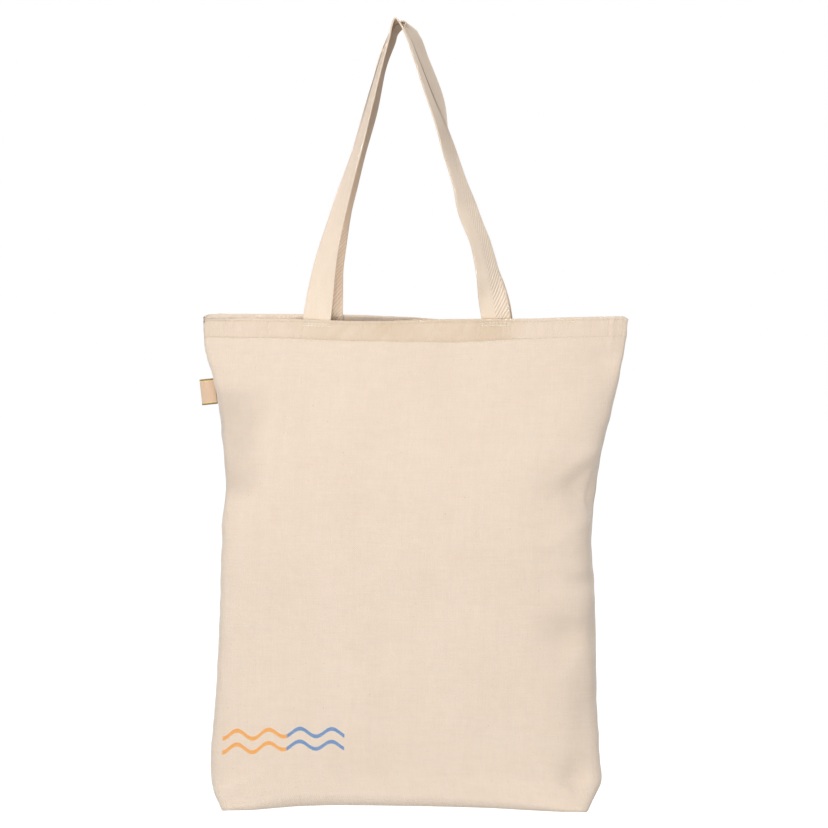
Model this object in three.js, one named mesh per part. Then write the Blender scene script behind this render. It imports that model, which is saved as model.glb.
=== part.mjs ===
// A canvas tote bag that hangs by its two webbing handles, filled out lightly and open at the mouth.
// Millimetres, +Z up, the front faces -Y. The origin is the peg's top, under the crests of the handles.
import * as THREE from 'three';

// Cloth, webbing and ribbon
const CLOTH = 1.2;
const SEW_GAP = 0.3;
const PANEL_WIDTH = 366;
const GUSSET = 54;
const HEM_HEIGHT = 20;
const HEM_STEP = CLOTH + 0.5;
const HEM_CLEARANCE = 3;
const SEAM_ALLOWANCE = 10;
const SEAM_THICKNESS = 2 * CLOTH;
const TAPE_WIDTH = 25;
const TAPE_THICKNESS = 1.6;
const TAG = { height: 23, reach: 12, ply: 1.0, slit: 0.4, z: -316 };

// Heights of the mouth and of the base's corners
const MOUTH_Z = -252;
const BASE_Z = -672;

// Middle of the base: how far the lower edge rolls up, and how far the base hangs below that edge
const BASE_ROLL = 14;
const BASE_SAG = 10;
const ROLL_POWER = 4;
const ROLL_FADE = 8;

// Cells of a panel: across one side of the base, across the front, and down the wall below the hem
const SIDE_CELLS = 3;
const FACE_CELLS = 22;
const WALL_CELLS = 22;
const HANDLE_CELLS = 60;
const FOLD_CELLS = 6;
const OUTLINE_STEPS = 720;
const BULGE_PASSES = 40;

const SIDES = { front: -1, back: 1 };
const COLOURS = { canvas: 0xead8c4, webbing: 0xf0dec9, ribbon: 0xe6c8ab };
const ROUGHNESS = { canvas: 0.95, webbing: 0.9, ribbon: 0.6 };

// The bag's plan at each height: its left and right edges, and how square its ends are.
const SECTIONS = [
  { z: -252, left: -164, right: 197, square: 2.3 },
  { z: -276, left: -163, right: 194.5, square: 2.7 },
  { z: -302, left: -156.5, right: 189.5, square: 3.4 },
  { z: -327, left: -152, right: 183.5, square: 4.2 },
  { z: -365, left: -148, right: 174.5, square: 5.2 },
  { z: -404, left: -145.5, right: 168.5, square: 6 },
  { z: -442, left: -146, right: 166, square: 6.2 },
  { z: -493, left: -148, right: 169, square: 6 },
  { z: -569, left: -152, right: 170.5, square: 5.6 },
  { z: -633, left: -157, right: 172.5, square: 5.2 },
  { z: -648, left: -156, right: 174, square: 5.6 },
  { z: -660, left: -152.5, right: 170.5, square: 9 },
  { z: -672, left: -146.5, right: 164.5, square: 20 },
];

// Height of the mouth's edge, from the left seam to the right one. The wall below follows it less and less.
const MOUTH = [
  { x: -164, front: -253.3, back: -250 },
  { x: -35, front: -255.4, back: -251.4 },
  { x: 50, front: -254.4, back: -252.2 },
  { x: 110, front: -252.4, back: -252.2 },
  { x: 197, front: -251.6, back: -251.6 },
];
const MOUTH_FADE = 2;

// Soft dents: the middle, the reach across and down, and the depth.
const DENTS = [
  { panel: 'front', x: -138, z: -327, wide: 15, tall: 26, depth: 3.5 },
  { panel: 'front', x: -132, z: -391, wide: 16, tall: 16, depth: 3.5 },
  { panel: 'front', x: 176, z: -288, wide: 16, tall: 12, depth: 2.5 },
  { panel: 'front', x: 156, z: -394, wide: 18, tall: 26, depth: 5 },
  { panel: 'front', x: 154, z: -516, wide: 18, tall: 20, depth: 4 },
  { panel: 'back', x: 152, z: -340, wide: 18, tall: 28, depth: 4 },
  { panel: 'back', x: -130, z: -430, wide: 18, tall: 26, depth: 4 },
  { panel: 'back', x: -134, z: -548, wide: 16, tall: 20, depth: 3 },
];
const DENT_FADE = 14; // no dent reaches a side seam

// The middle of each handle's tape from its left end to its right one, and how far the tape has turned.
const HANDLES = {
  front: [
    { x: -66, z: -271, turn: 0 },
    { x: -66, z: -249, turn: 0 },
    { x: -60, z: -208, turn: 33 },
    { x: -44.2, z: -148, turn: 57 },
    { x: -23.8, z: -78, turn: 74 },
    { x: -6, z: -17, turn: 80 },
    { x: 1.5, z: 0.8, turn: 90 },
    { x: 10.8, z: -15, turn: 100 },
    { x: 28, z: -60, turn: 110 },
    { x: 47, z: -117, turn: 121 },
    { x: 64.5, z: -172, turn: 139 },
    { x: 79.5, z: -219, turn: 152 },
    { x: 85, z: -249, turn: 180 },
    { x: 85, z: -271, turn: 180 },
  ],
  back: [
    { x: -57, z: -271, turn: 0 },
    { x: -57, z: -249, turn: 0 },
    { x: -54.8, z: -208, turn: 33 },
    { x: -42.8, z: -148, turn: 57 },
    { x: -23, z: -87, turn: 74 },
    { x: -3.2, z: -16, turn: 80 },
    { x: 4.5, z: 0.8, turn: 90 },
    { x: 15.4, z: -15, turn: 99 },
    { x: 24, z: -36, turn: 104 },
    { x: 38, z: -83, turn: 115 },
    { x: 64, z: -172, turn: 139 },
    { x: 79, z: -219, turn: 152 },
    { x: 85, z: -249, turn: 180 },
    { x: 85, z: -271, turn: 180 },
  ],
};
const CREST_Y = TAPE_WIDTH / 2 + SEW_GAP;
const CREST_Z = TAPE_THICKNESS / 2;
const PROBE = 0.01;

// Curves through tables

function slopeAt(knots, values, i) {
  const before = (values[i] - values[i - 1]) / (knots[i] - knots[i - 1]);
  const after = (values[i + 1] - values[i]) / (knots[i + 1] - knots[i]);
  if (!(before * after > 0)) return 0;
  return (2 * before * after) / (before + after);
}

// A smooth curve through the knots that never overshoots them.
function curveAt(knots, values, at) {
  const last = knots.length - 1;
  const rising = knots[last] > knots[0];
  let i = 0;
  while (i < last - 1 && (rising ? at > knots[i + 1] : at < knots[i + 1])) i += 1;
  const span = knots[i + 1] - knots[i];
  const chord = (values[i + 1] - values[i]) / span;
  const start = i > 0 ? slopeAt(knots, values, i) : chord;
  const end = i < last - 1 ? slopeAt(knots, values, i + 1) : chord;
  const t = THREE.MathUtils.clamp((at - knots[i]) / span, 0, 1);
  const s = 1 - t;
  const bend = s * t * span * (s * (start - chord) - t * (end - chord));
  return s * values[i] + t * values[i + 1] + bend;
}

function column(rows, name) {
  return rows.map((row) => row[name]);
}

function lookUp(rows, key, at, name) {
  return curveAt(column(rows, key), column(rows, name), at);
}

// The bag's plan

// Half of a squared ellipse, from the left seam over the bulge to the right seam.
function outline(middle, halfWidth, bulge, square) {
  const points = [];
  for (let i = 0; i <= OUTLINE_STEPS; i += 1) {
    const angle = (Math.PI * i) / OUTLINE_STEPS;
    const across = Math.cos(angle);
    const reach = Math.sign(across) * Math.abs(across) ** (2 / square);
    const depth = Math.abs(Math.sin(angle)) ** (2 / square);
    points.push(new THREE.Vector2(middle - halfWidth * reach, bulge * depth));
  }
  return points;
}

function lengthsAlong(points) {
  const lengths = [0];
  for (let i = 1; i < points.length; i += 1) {
    lengths.push(lengths[i - 1] + points[i].distanceTo(points[i - 1]));
  }
  return lengths;
}

// Canvas doesn't stretch, so the bulge is the one whose outline is as long as the panel is wide.
function planAt(z) {
  const left = lookUp(SECTIONS, 'z', z, 'left');
  const right = lookUp(SECTIONS, 'z', z, 'right');
  const square = lookUp(SECTIONS, 'z', z, 'square');
  const middle = (left + right) / 2;
  const halfWidth = (right - left) / 2;
  let low = 0;
  let high = halfWidth;
  for (let pass = 0; pass < BULGE_PASSES; pass += 1) {
    const trial = (low + high) / 2;
    const length = lengthsAlong(outline(middle, halfWidth, trial, square)).at(-1);
    if (length < PANEL_WIDTH) low = trial;
    else high = trial;
  }
  const points = outline(middle, halfWidth, low, square);
  return { points, lengths: lengthsAlong(points) };
}

function pointAlong(plan, distance) {
  const { points, lengths } = plan;
  let i = 0;
  while (i < lengths.length - 2 && lengths[i + 1] < distance) i += 1;
  const t = (distance - lengths[i]) / (lengths[i + 1] - lengths[i]);
  return points[i].clone().lerp(points[i + 1], THREE.MathUtils.clamp(t, 0, 1));
}

// Depth and direction of the wall at one x, for what is sewn to it.
function wallAt(x, z) {
  const { points } = planAt(z);
  let i = 0;
  while (i < points.length - 2 && points[i + 1].x < x) i += 1;
  const step = points[i + 1].clone().sub(points[i]);
  const depth = points[i].y + (step.y * (x - points[i].x)) / step.x;
  return { depth, angle: Math.atan2(step.y, step.x) };
}

// Solids from sheets and strips

function meshGeometry(vertices, triangles) {
  const geometry = new THREE.BufferGeometry();
  const places = vertices.flatMap((vertex) => vertex.toArray());
  geometry.setAttribute('position', new THREE.Float32BufferAttribute(places, 3));
  geometry.setIndex(triangles.flat());
  geometry.computeVertexNormals();
  return geometry;
}

function splitQuads(quads) {
  return quads.flatMap(([a, b, c, d]) => [[a, b, c], [a, c, d]]);
}

function sheetNormals(vertices, triangles, seam) {
  const normals = vertices.map(() => new THREE.Vector3());
  for (const [a, b, c] of triangles) {
    const along = vertices[b].clone().sub(vertices[a]);
    const across = vertices[c].clone().sub(vertices[a]);
    const facing = along.cross(across);
    [a, b, c].forEach((corner) => normals[corner].add(facing));
  }
  seam.forEach((corner) => normals[corner].setY(0));
  return normals.map((normal) => normal.normalize());
}

// A sheet with its thickness: both faces, and a narrow wall along each free edge.
function thicken(vertices, quads, seam) {
  const triangles = splitQuads(quads);
  const normals = sheetNormals(vertices, triangles, seam);
  const count = vertices.length;
  const outer = vertices.map((v, i) => v.clone().addScaledVector(normals[i], CLOTH / 2));
  const inner = vertices.map((v, i) => v.clone().addScaledVector(normals[i], -CLOTH / 2));
  const inside = triangles.map(([a, b, c]) => [count + a, count + c, count + b]);
  const free = new Map();
  for (const quad of quads) {
    quad.forEach((from, i) => {
      const to = quad[(i + 1) % quad.length];
      if (!free.delete(`${to},${from}`)) free.set(`${from},${to}`, [from, to]);
    });
  }
  const rim = [...free.values()].map(([from, to]) => [to, from, count + from, count + to]);
  return meshGeometry([...outer, ...inner], [...triangles, ...inside, ...splitQuads(rim)]);
}

// A strip through four-cornered stations, closed at both ends.
function sweep(stations) {
  const quads = [];
  for (let i = 0; i < stations.length - 1; i += 1) {
    for (let j = 0; j < 4; j += 1) {
      const next = (j + 1) % 4;
      quads.push([4 * i + j, 4 * i + next, 4 * i + 4 + next, 4 * i + 4 + j]);
    }
  }
  const end = 4 * (stations.length - 1);
  quads.push([3, 2, 1, 0], [end, end + 1, end + 2, end + 3]);
  return meshGeometry(stations.flat(), splitQuads(quads));
}

// Panels

// Distances of a panel's columns from its left seam.
function columnDistances() {
  const side = GUSSET / 2;
  const face = PANEL_WIDTH - GUSSET;
  const distances = [];
  for (let i = 0; i <= SIDE_CELLS; i += 1) distances.push((side * i) / SIDE_CELLS);
  for (let i = 1; i <= FACE_CELLS; i += 1) distances.push(side + (face * i) / FACE_CELLS);
  for (let i = 1; i <= SIDE_CELLS; i += 1) distances.push(side + face + (side * i) / SIDE_CELLS);
  return distances;
}

// Heights of a panel's rows: the fold, the middle and the foot of the hem, then even steps to the base.
function rowHeights() {
  const foot = MOUTH_Z - HEM_HEIGHT;
  const heights = [MOUTH_Z - HEM_STEP / 2, MOUTH_Z - HEM_HEIGHT / 2];
  for (let i = 0; i <= WALL_CELLS; i += 1) heights.push(foot + ((BASE_Z - foot) * i) / WALL_CELLS);
  return heights;
}

// How much of the base's roll a column takes: none on the sides, all of it in the middle.
function rollShare(distance) {
  const face = PANEL_WIDTH - GUSSET;
  const fromMiddle = Math.abs(distance - PANEL_WIDTH / 2) / (face / 2);
  return fromMiddle < 1 ? 1 - fromMiddle ** ROLL_POWER : 0;
}

function dentDepth(name, x, z, distance) {
  const toSeam = Math.min(distance, PANEL_WIDTH - distance);
  const fade = THREE.MathUtils.smoothstep(toSeam, 0, DENT_FADE);
  return DENTS.filter((dent) => dent.panel === name).reduce((total, dent) => {
    const across = (x - dent.x) / dent.wide;
    const down = (z - dent.z) / dent.tall;
    return total + fade * dent.depth * Math.exp(-across * across - down * down);
  }, 0);
}

// Middle of the canvas wall, row by row from the mouth to the base, before its hem and base are added.
function wallGrid(name) {
  const distances = columnDistances();
  return rowHeights().map((z) => {
    const plan = planAt(z);
    const down = (MOUTH_Z - z) / (MOUTH_Z - BASE_Z);
    return distances.map((distance) => {
      const { x, y } = pointAlong(plan, distance);
      const depth = Math.max(y - dentDepth(name, x, z, distance), SEW_GAP / 2);
      const edge = lookUp(MOUTH, 'x', x, name) - MOUTH_Z;
      const lift = edge * (1 - down) ** MOUTH_FADE + BASE_ROLL * rollShare(distance) * down ** ROLL_FADE;
      return new THREE.Vector3(x, SIDES[name] * depth, z + lift);
    });
  });
}

// Level direction into the bag at one point of a row.
function inward(row, i, side) {
  if (i === 0) return new THREE.Vector3(1, 0, 0);
  if (i === row.length - 1) return new THREE.Vector3(-1, 0, 0);
  const along = row[i + 1].clone().sub(row[i - 1]);
  return new THREE.Vector3(side * along.y, -side * along.x, 0).normalize();
}

// The turned-in layer of the hem, from its foot up to the fold.
function hemRows(wall, side) {
  const layer = (row, step, rise) =>
    row.map((point, i) => point.clone().addScaledVector(inward(row, i, side), step).setZ(point.z + rise));
  const rows = [wall[2], wall[1], wall[0]].map((row) => layer(row, HEM_STEP, 0));
  return [...rows, layer(wall[0], HEM_STEP / 2, HEM_STEP / 2)];
}

// Rows of the base, from the lower edge to the seam along its middle, without their end points.
function baseRows(foot, distances, side) {
  const first = SIDE_CELLS;
  const last = SIDE_CELLS + FACE_CELLS;
  const rows = [];
  for (let step = 1; step <= SIDE_CELLS; step += 1) {
    const left = foot[first - step];
    const right = foot[last + step];
    const share = left.y / foot[first].y;
    const row = [];
    for (let i = first + 1; i < last; i += 1) {
      const across = (foot[i].x - foot[first].x) / (foot[last].x - foot[first].x);
      const x = THREE.MathUtils.lerp(left.x, right.x, across);
      const y = step < SIDE_CELLS ? foot[i].y * share : (side * SEW_GAP) / 2;
      const sag = BASE_SAG * rollShare(distances[i]) * Math.sqrt(1 - share * share);
      row.push(new THREE.Vector3(x, y, foot[i].z - sag));
    }
    rows.push(row);
  }
  return rows;
}

function panel(name) {
  const side = SIDES[name];
  const wall = wallGrid(name);
  const grid = [...hemRows(wall, side), ...wall];
  const width = grid[0].length;
  const vertices = grid.flat();
  const foot = vertices.length - width;
  const seam = new Set(grid.flatMap((row, r) => [r * width, r * width + width - 1]));

  // Numbers of the points along each row of the base, whose ends are sewn to the sides' lower edges.
  const first = SIDE_CELLS;
  const last = SIDE_CELLS + FACE_CELLS;
  const baseNumbers = [Array.from({ length: FACE_CELLS + 1 }, (_, i) => foot + first + i)];
  baseRows(wall.at(-1), columnDistances(), side).forEach((row, r) => {
    const numbers = row.map((_, i) => vertices.length + i);
    vertices.push(...row);
    baseNumbers.push([foot + first - 1 - r, ...numbers, foot + last + 1 + r]);
  });
  baseNumbers.at(-1).forEach((number) => seam.add(number));

  const wallNumbers = grid.map((row, r) => row.map((_, i) => r * width + i));
  const quads = [wallNumbers, baseNumbers].flatMap((rows) => gridQuads(rows));
  const facing = side < 0 ? quads : quads.map((quad) => quad.reverse());
  return thicken(vertices, facing, seam);
}

function gridQuads(rows) {
  const quads = [];
  for (let r = 0; r < rows.length - 1; r += 1) {
    for (let i = 0; i < rows[r].length - 1; i += 1) {
      quads.push([rows[r][i], rows[r + 1][i], rows[r + 1][i + 1], rows[r][i + 1]]);
    }
  }
  return quads;
}

// Handles

// The tape's middle inside the hem, clear of the turned-in layer.
function sewnDepth(name, x, z) {
  const edge = lookUp(MOUTH, 'x', x, name);
  const level = Math.min(z - edge, 0) + MOUTH_Z;
  return wallAt(x, level).depth - HEM_STEP - CLOTH / 2 - SEW_GAP - TAPE_THICKNESS / 2;
}

// The sewn row of the leg that a point of the handle belongs to.
function legBase(rows, at) {
  return at < (rows.length - 1) / 2 ? rows[1] : rows.at(-2);
}

function handleValue(rows, name, at) {
  return curveAt([...rows.keys()], column(rows, name), at);
}

// The two handles hang side by side, so each keeps its turned tape on its own side of the middle.
function handlePoint(name, at) {
  const rows = HANDLES[name];
  const x = handleValue(rows, 'x', at);
  const z = handleValue(rows, 'z', at);
  const turn = THREE.MathUtils.degToRad(handleValue(rows, 'turn', at));
  const base = legBase(rows, at);
  const rise = THREE.MathUtils.clamp((z - base.z) / (CREST_Z - base.z), 0, 1);
  const hanging = THREE.MathUtils.lerp(sewnDepth(name, base.x, z), CREST_Y, rise);
  const turned = (TAPE_WIDTH * Math.sin(turn) + TAPE_THICKNESS * Math.abs(Math.cos(turn))) / 2 + SEW_GAP;
  return new THREE.Vector3(x, SIDES[name] * Math.max(hanging, turned), z);
}

// Direction across the tape: along the hem at both ends, along the peg at the crest.
function handleAcross(name, at) {
  const rows = HANDLES[name];
  const turn = THREE.MathUtils.degToRad(handleValue(rows, 'turn', at));
  const hem = wallAt(legBase(rows, at).x, MOUTH_Z).angle * Math.cos(turn) ** 2;
  const angle = SIDES[name] * (turn + hem);
  return new THREE.Vector3(Math.cos(angle), Math.sin(angle), 0);
}

function handle(name) {
  const end = HANDLES[name].length - 1;
  const stations = [];
  for (let i = 0; i <= HANDLE_CELLS; i += 1) {
    const at = (end * i) / HANDLE_CELLS;
    const middle = handlePoint(name, at);
    const before = handlePoint(name, Math.max(at - PROBE, 0));
    const along = handlePoint(name, Math.min(at + PROBE, end)).sub(before).normalize();
    const across = handleAcross(name, at);
    across.addScaledVector(along, -across.dot(along)).normalize();
    const up = along.clone().cross(across);
    across.multiplyScalar(TAPE_WIDTH / 2);
    up.multiplyScalar(TAPE_THICKNESS / 2);
    const corner = (w, t) => middle.clone().addScaledVector(across, w).addScaledVector(up, t);
    stations.push([corner(-1, -1), corner(1, -1), corner(1, 1), corner(-1, 1)]);
  }
  return sweep(stations);
}

// Seams

// Seam allowances of both panels, standing in from one side.
function sideSeam(edge, inwards) {
  const top = MOUTH_Z - HEM_HEIGHT - HEM_CLEARANCE;
  const heights = [top, ...rowHeights().slice(3, -1)];
  const half = SEAM_THICKNESS / 2;
  const clear = CLOTH + half + SEW_GAP;
  const stations = heights.map((z) => {
    const outer = lookUp(SECTIONS, 'z', z, edge) + inwards * clear;
    const inner = outer + inwards * SEAM_ALLOWANCE;
    const corners = [[outer, -half], [inner, -half], [inner, half], [outer, half]];
    const points = corners.map(([x, y]) => new THREE.Vector3(x, y, z));
    return inwards > 0 ? points.reverse() : points;
  });
  return sweep(stations);
}

// Seam allowances of both panels, standing up along the middle of the base.
function bottomSeam() {
  const distances = columnDistances();
  const foot = wallGrid('front').at(-1);
  const middle = baseRows(foot, distances, SIDES.front).at(-1).slice(1, -1);
  const clear = CLOTH / 2 + SEW_GAP;
  const half = SEAM_THICKNESS / 2;
  const stations = middle.map(({ x, z }) => {
    const low = z + clear;
    const high = low + SEAM_ALLOWANCE;
    const corners = [[-half, low], [half, low], [half, high], [-half, high]];
    return corners.map(([y, height]) => new THREE.Vector3(x, y, height));
  });
  return sweep(stations);
}

// Tag

// A ribbon folded double, its loop outwards and its two ends at the seam.
function tagGeometry() {
  const half = TAG.ply + TAG.slit / 2;
  const slit = TAG.slit / 2;
  const straight = TAG.reach - half;
  const shape = new THREE.Shape();
  shape.moveTo(0, -half);
  shape.lineTo(0, -slit);
  shape.lineTo(-straight, -slit);
  shape.absarc(-straight, 0, slit, -Math.PI / 2, Math.PI / 2, true);
  shape.lineTo(0, slit);
  shape.lineTo(0, half);
  shape.lineTo(-straight, half);
  shape.absarc(-straight, 0, half, Math.PI / 2, (3 * Math.PI) / 2, false);
  shape.closePath();
  const options = { depth: TAG.height, bevelEnabled: false, curveSegments: FOLD_CELLS };
  return new THREE.ExtrudeGeometry(shape, options).translate(0, 0, -TAG.height / 2);
}

// The tag stands square to the slanting seam.
function placeTag(mesh) {
  const reach = TAG.height / 2;
  const above = lookUp(SECTIONS, 'z', TAG.z + reach, 'left');
  const below = lookUp(SECTIONS, 'z', TAG.z - reach, 'left');
  const outside = CLOTH / 2 + 2 * SEW_GAP;
  mesh.position.set((above + below) / 2 - outside, 0, TAG.z);
  mesh.rotation.y = Math.atan2(above - below, TAG.height);
  return mesh;
}

function piece(name, geometry, finish) {
  const look = { color: COLOURS[finish], roughness: ROUGHNESS[finish], metalness: 0 };
  const mesh = new THREE.Mesh(geometry, new THREE.MeshStandardMaterial(look));
  mesh.name = name;
  return mesh;
}

const tote = new THREE.Group();
for (const name of Object.keys(SIDES)) {
  tote.add(piece(`${name}_panel`, panel(name), 'canvas'));
  tote.add(piece(`${name}_handle`, handle(name), 'webbing'));
}
tote.add(piece('left_side_seam', sideSeam('left', 1), 'canvas'));
tote.add(piece('right_side_seam', sideSeam('right', -1), 'canvas'));
tote.add(piece('bottom_seam', bottomSeam(), 'canvas'));
tote.add(placeTag(piece('side_tag', tagGeometry(), 'ribbon')));

export default tote;
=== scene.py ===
"""A natural canvas tote bag that hangs by its two webbing handles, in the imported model's frame."""
import math
from functools import lru_cache, partial

import bmesh
import bpy
import numpy as np
from mathutils import Matrix, Vector, noise


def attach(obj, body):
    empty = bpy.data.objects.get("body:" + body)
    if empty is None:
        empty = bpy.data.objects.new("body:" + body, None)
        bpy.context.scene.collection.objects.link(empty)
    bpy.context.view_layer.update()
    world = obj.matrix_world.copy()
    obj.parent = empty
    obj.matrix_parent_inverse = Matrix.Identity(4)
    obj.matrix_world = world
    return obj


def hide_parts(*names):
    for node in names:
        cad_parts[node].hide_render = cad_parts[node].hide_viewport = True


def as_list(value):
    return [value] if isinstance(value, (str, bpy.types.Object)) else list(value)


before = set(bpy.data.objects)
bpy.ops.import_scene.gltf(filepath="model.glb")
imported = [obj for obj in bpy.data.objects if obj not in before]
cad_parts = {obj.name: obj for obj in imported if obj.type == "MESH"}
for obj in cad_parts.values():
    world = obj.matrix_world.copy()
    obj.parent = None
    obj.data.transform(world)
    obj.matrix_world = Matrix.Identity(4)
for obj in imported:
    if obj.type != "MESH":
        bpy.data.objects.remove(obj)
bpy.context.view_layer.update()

# The bag is worked out in millimetres, and each finished piece is scaled to metres.
MM = 0.001


def table(names, *rows):
    """Rows of values under the names of their columns."""
    return [dict(zip(names.split(), row)) for row in rows]


# Canvas: its thickness, the cut of one panel with its turned hem, and the size of the cut's cells
CANVAS = 1.0
PANEL_WIDTH = 366
WALL = 420
HALF_BASE = 27
HEM_TURN = 18
HEM_RADIUS = 0.75
CELL = 3
SEWN_SHUT = 0.02

# Seams, and the allowances that stand inside them
SEAM_HALF = 0.55
SEAM_GROOVE = 1.3
SEAM_TURN = 3.5
ALLOWANCE = 10
ALLOWANCE_PLY = 0.9
ALLOWANCE_CELLS = 4
SIDE_ALLOWANCE = dict(top=4, foot=16, inset=2.2, rows=100)
BASE_ALLOWANCE = dict(ends=6, rise=1.4, columns=80)

# Webbing, with its gaps to the hem and to the bag's middle
TAPE_WIDTH = 25
TAPE = 1.5
TAPE_EDGE = 0.45
TAPE_COLUMNS = 10
TAPE_CELL = 2
SEW_GAP = 0.6
TAPE_GAP = 0.9

TAG = dict(height=22, reach=13, ply=0.6, slit=1.2, bulge=1.8, z=-316, tilt=-6, sunk=0.4)
TAG_CELLS = dict(columns=44, rows=12)

# Stitches along the hem, down the sides of the handles' ends and across them
STITCHES = dict(
    row=dict(pitch=3.2, length=2.5, thick=0.32),
    side=dict(pitch=2.8, length=2.2, thick=0.32),
    across=dict(pitch=2.8, length=2.8, thick=0.46),
)
THREAD_FLAT = 0.8
THREAD_LIFT = 0.35

# Heights of the mouth and of the base's corners
MOUTH_Z = -252
BASE_Z = -672

# How fast the roll of the base's lower edge fades up the wall, and how boxy the base hangs below it
ROLL_FADE = 8
BASE_POWER = 4
BASE_TUCK = 6

# How finely outlines and handles are worked out
OUTLINE_STEPS = 1200
SQUARE_RANGE = (2, 40)
SQUARE_PASSES = 30
PROBE = 0.5
HANDLE_STEPS = 900
HANDLE_PROBE = 0.01
HEM_PROBE = 5

# Which way each half of the bag stands out
SIDES = dict(front=-1, back=1)

# Extra rows and columns of the cut: round the hem's fold, along its stitches and beside each seam
FOLD_CUTS = (0.0, 0.4, 0.8, 1.2)
STITCH_LINE = 16.6
TOP_LINE = 2.6
STITCH_CUTS = (-0.8, 0.0, 0.8)
SEAM_CUTS = (0.5, 1.1, 1.9)
RIDGE_CUTS = [PANEL_WIDTH - 4.5 - 1.5 * i for i in range(10)]

# Where stitches run: how far from the seams the hem's rows stop, and the runs on the handles' ends
HEM_ENDS = 5
SIDE_RUN = (TOP_LINE + 3.5, STITCH_LINE - 1)
ACROSS_ROWS = (TOP_LINE + 1, TOP_LINE + 2.9, STITCH_LINE + 1.4)
SEWN_MIDDLE = 8

# The bag's plan at each height: its left and right edges, and how far it stands out from the seams' plane
SECTIONS = table(
    "z left right depth",
    (-252, -166, 197.5, 9.5), (-276, -164, 195, 14.5), (-302, -156.5, 189.5, 23),
    (-327, -152, 183.5, 29), (-365, -148, 174.5, 36), (-404, -145.5, 168.5, 40.5),
    (-442, -146, 166, 41.5), (-493, -148, 169, 39), (-569, -152, 170.5, 35.5),
    (-633, -158, 174, 31.5), (-648, -157.5, 175.5, 31), (-660, -152.5, 170.5, 31),
    (-672, -146.5, 164.5, 31.2),
)
RIGHT_ROUND = 0.42
EDGE_SEEDS = dict(left=3, right=8)
EDGE_FADE = 30

# Small unevenness: its height, and its length in two directions
RIPPLES = dict(
    edge=(0.9, 15, 1),
    tape=(0.35, 16, 38),
    side_wave=(0.5, 23, 18),
    side_lean=(1.6, 60, 1),
    base_lean=(2, 50, 1),
    tag=(0.5, 9, 12),
)

# Height of the mouth's edge, from the left seam to the right one
MOUTH = table(
    "x front back",
    (-164, -253.8, -250.4), (-100, -254.3, -250.6), (-60, -255.6, -251),
    (-35, -256.4, -251.4), (-9, -256.3, -252.4), (16, -255.4, -253.5),
    (42, -254.6, -255.4), (63, -254.4, -255.9), (113, -254, -255.4),
    (148, -252.9, -254.2), (197, -251.8, -252.2),
)

# How the mouth's slope fades down the wall, where the hems draw together, and how the corners droop
MOUTH_FADE = 2
MOUTH_CLOSE = dict(left=-100, right=-40, share=0.8, fade=80)
CORNER = dict(drop=2.6, reach=7, fade=25)

# Where the front hem is turned deeper, and how far the wall below takes to even that out
DEEP_HEM = dict(x=48, reach=42, drop=2.8, fade=120)

# Along the base: how far its lower edge rolls up, and how far its lowest line lies above the corners
BASE = table(
    "x roll low",
    (-147, 0, 0),
    (-122, 3, 0.3),
    (-100, 9.5, 1.6),
    (-82, 13.5, 3),
    (-45, 14, 4.6),
    (35, 13, 5),
    (80, 11, 4.6),
    (115, 8, 3.6),
    (145, 4.5, 3.2),
    (165, 3.2, 3.2),
)

# Soft dents: their middle, their reach, and their depth
DENTS = dict(
    front=table(
        "x z left right tall depth",
        (-144, -322, 22, 26, 30, 3.5), (-137, -357, 22, 26, 26, 3.5), (-131, -393, 20, 26, 16, 4.5),
        (176, -290, 14, 14, 12, 3.5), (160, -402, 13, 13, 14, 5), (144, -396, 26, 26, 20, 6),
        (162, -474, 12, 12, 7, 2.5), (152, -518, 24, 24, 18, 6), (162, -590, 12, 12, 40, 3),
        (155, -645, 14, 14, 18, 6),
    ),
    back=table(
        "x z left right tall depth",
        (152, -340, 18, 18, 28, 5), (-130, -430, 18, 18, 26, 5), (-134, -548, 16, 16, 20, 4),
    ),
)
SEAM_FADE = 14

# Creases: their two ends, how wide they are, and how far they stand out
CREASES = dict(
    front=table(
        "start end wide height",
        ((-140, -405), (-112, -398), 3.5, -1.0),
        ((-141, -404), (-139.5, -446), 1.7, 0.8),
        ((168, -364), (118, -400), 7, 1.6),
        ((166, -380), (120, -418), 6, -1.5),
        ((160, -425), (124, -446), 5, 1.2),
        ((158, -505), (126, -488), 4.5, 0.9),
        ((160, -535), (134, -566), 5, 0.8),
        ((-148, -657), (-86, -634), 6, 1.7),
        ((150, -657), (108, -626), 6, 1.6),
        ((184.5, -252), (180, -306), 1.8, 0.8),
        ((190.5, -252), (186.5, -300), 1.7, 0.75),
    ),
    back=table(
        "start end wide height",
        ((-148, -650), (-100, -620), 6, 1.0),
        ((152, -650), (104, -632), 6, 1.0),
        ((150, -365), (116, -380), 5, 1.0),
        ((-136, -455), (-100, -470), 5, 0.9),
    ),
)

# Slow and quick swells of the hanging cloth: their length and height
SWELLS = [dict(length=105, height=1.5), dict(length=42, height=0.55), dict(length=17, height=0.16)]
SWELL_SEED = 40

# Puckers that the stitching draws into the hem
PUCKERS = [
    dict(start=-20, end=275, pitch=11, slant=0.9, height=0.8),
    dict(start=275, end=390, pitch=5, slant=0.1, height=0.45),
]
PUCKER = dict(top=5, fade=9, ends=12, tall=40, seed=7)

# How deep stitches pull the hem in, less at its right end, and how far it stands out over the handles' ends
STITCH_DIP = dict(depth=0.4, half=1.1, eased=0.7, ease=20)
STRAP_STEP = dict(height=0.7, half=11, fade=3.5, foot=14, foot_fade=4)

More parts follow.
